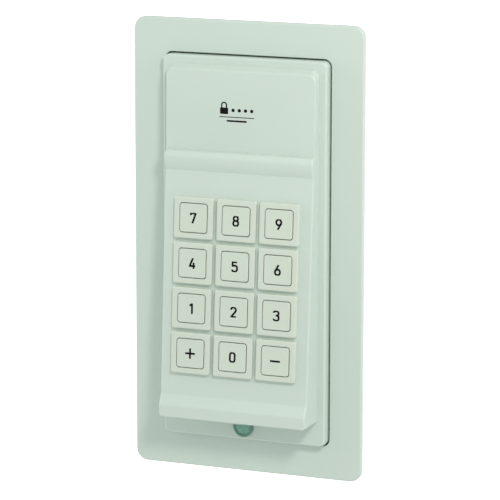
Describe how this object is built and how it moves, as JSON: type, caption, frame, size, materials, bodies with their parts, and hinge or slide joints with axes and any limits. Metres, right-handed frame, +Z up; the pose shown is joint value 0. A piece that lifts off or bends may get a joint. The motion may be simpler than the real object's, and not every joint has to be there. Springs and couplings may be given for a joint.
{
  "type": "alarm keypad panel",
  "caption": "Flush-mounted alarm keypad: trim frame around a raised housing with square sprung keys in bezels, sloping keypad face, lower lip, status lamp and wall box.",
  "frame": {"origin": "centre of the wall box's rear outer face, which is the centre of its four fixing holes", "axes": "+X to the right of the user, +Y into the wall, +Z up the wall; the keys face -Y"},
  "size_m": [0.1026, 0.049, 0.1922],
  "materials": {
    "shell": "fine moulded satin, pale mint white",
    "caps": "satin key plastic, pale mint white",
    "legend": "black printed legend",
    "box": "dark moulded wall box",
    "steel": "zinc-plated steel",
    "rubber": "black rubber",
    "lens": "green translucent lens",
    "led": "diffused green lamp body",
    "board": "green solder mask",
    "contacts": "gold-flashed contact domes",
    "component": "black component bodies",
    "relay_case": "cream moulded plastic",
    "terminals": "green terminal plastic",
    "ribbon": "grey flat cable"
  },
  "bodies": {
    "panel": {"flush_box": "box", "cover_frame": "shell", "housing_base": "shell", "base_screws": "steel", "cover_seal": "rubber", "front_cover": "shell", "cover_screw": "steel", "lamp_lens": "lens", "status_led": "led", "key_board": "board", "key_board_screws": "steel", "contact_domes": "contacts", "main_board": "board", "board_screws": "steel", "processor_chip": "component", "sounder": "component", "relay": "relay_case", "terminal_block": "terminals", "terminal_screws": "steel", "tamper_switch": "component", "ribbon_connectors": "component", "ribbon_cable": "ribbon", "cable_grommet": "rubber", "key_housing_7": "shell", "key_housing_8": "shell", "key_housing_9": "shell", "key_housing_4": "shell", "key_housing_5": "shell", "key_housing_6": "shell", "key_housing_1": "shell", "key_housing_2": "shell", "key_housing_3": "shell", "key_housing_plus": "shell", "key_housing_0": "shell", "key_housing_minus": "shell", "key_spring_7": "steel", "key_spring_8": "steel", "key_spring_9": "steel", "key_spring_4": "steel", "key_spring_5": "steel", "key_spring_6": "steel", "key_spring_1": "steel", "key_spring_2": "steel", "key_spring_3": "steel", "key_spring_plus": "steel", "key_spring_0": "steel", "key_spring_minus": "steel"},
    "key_7": {"keycap_7": "caps"},
    "key_8": {"keycap_8": "caps"},
    "key_9": {"keycap_9": "caps"},
    "key_4": {"keycap_4": "caps"},
    "key_5": {"keycap_5": "caps"},
    "key_6": {"keycap_6": "caps"},
    "key_1": {"keycap_1": "caps"},
    "key_2": {"keycap_2": "caps"},
    "key_3": {"keycap_3": "caps"},
    "key_plus": {"keycap_plus": "caps"},
    "key_0": {"keycap_0": "caps"},
    "key_minus": {"keycap_minus": "caps"},
    "tamper": {"tamper_plunger": "relay_case"}
  },
  "joints": [
    {"name": "press_7", "type": "slide", "parent": "panel", "child": "key_7", "axis": [0, 0.9977, -0.068], "range_m": [0, 0.0018], "stiffness_N_per_m": 350, "springref_m": -0.0015, "deforming": ["key_spring_7"]},
    {"name": "press_8", "type": "slide", "parent": "panel", "child": "key_8", "axis": [0, 0.9977, -0.068], "range_m": [0, 0.0018], "stiffness_N_per_m": 350, "springref_m": -0.0015, "deforming": ["key_spring_8"]},
    {"name": "press_9", "type": "slide", "parent": "panel", "child": "key_9", "axis": [0, 0.9977, -0.068], "range_m": [0, 0.0018], "stiffness_N_per_m": 350, "springref_m": -0.0015, "deforming": ["key_spring_9"]},
    {"name": "press_4", "type": "slide", "parent": "panel", "child": "key_4", "axis": [0, 0.9977, -0.068], "range_m": [0, 0.0018], "stiffness_N_per_m": 350, "springref_m": -0.0015, "deforming": ["key_spring_4"]},
    {"name": "press_5", "type": "slide", "parent": "panel", "child": "key_5", "axis": [0, 0.9977, -0.068], "range_m": [0, 0.0018], "stiffness_N_per_m": 350, "springref_m": -0.0015, "deforming": ["key_spring_5"]},
    {"name": "press_6", "type": "slide", "parent": "panel", "child": "key_6", "axis": [0, 0.9977, -0.068], "range_m": [0, 0.0018], "stiffness_N_per_m": 350, "springref_m": -0.0015, "deforming": ["key_spring_6"]},
    {"name": "press_1", "type": "slide", "parent": "panel", "child": "key_1", "axis": [0, 0.9977, -0.068], "range_m": [0, 0.0018], "stiffness_N_per_m": 350, "springref_m": -0.0015, "deforming": ["key_spring_1"]},
    {"name": "press_2", "type": "slide", "parent": "panel", "child": "key_2", "axis": [0, 0.9977, -0.068], "range_m": [0, 0.0018], "stiffness_N_per_m": 350, "springref_m": -0.0015, "deforming": ["key_spring_2"]},
    {"name": "press_3", "type": "slide", "parent": "panel", "child": "key_3", "axis": [0, 0.9977, -0.068], "range_m": [0, 0.0018], "stiffness_N_per_m": 350, "springref_m": -0.0015, "deforming": ["key_spring_3"]},
    {"name": "press_plus", "type": "slide", "parent": "panel", "child": "key_plus", "axis": [0, 0.9977, -0.068], "range_m": [0, 0.0018], "stiffness_N_per_m": 350, "springref_m": -0.0015, "deforming": ["key_spring_plus"]},
    {"name": "press_0", "type": "slide", "parent": "panel", "child": "key_0", "axis": [0, 0.9977, -0.068], "range_m": [0, 0.0018], "stiffness_N_per_m": 350, "springref_m": -0.0015, "deforming": ["key_spring_0"]},
    {"name": "press_minus", "type": "slide", "parent": "panel", "child": "key_minus", "axis": [0, 0.9977, -0.068], "range_m": [0, 0.0018], "stiffness_N_per_m": 350, "springref_m": -0.0015, "deforming": ["key_spring_minus"]},
    {"name": "press_tamper", "type": "slide", "parent": "panel", "child": "tamper", "axis": [0, 1, 0], "range_m": [0, 0.0008], "stiffness_N_per_m": 300, "springref_m": -0.001}
  ]
}
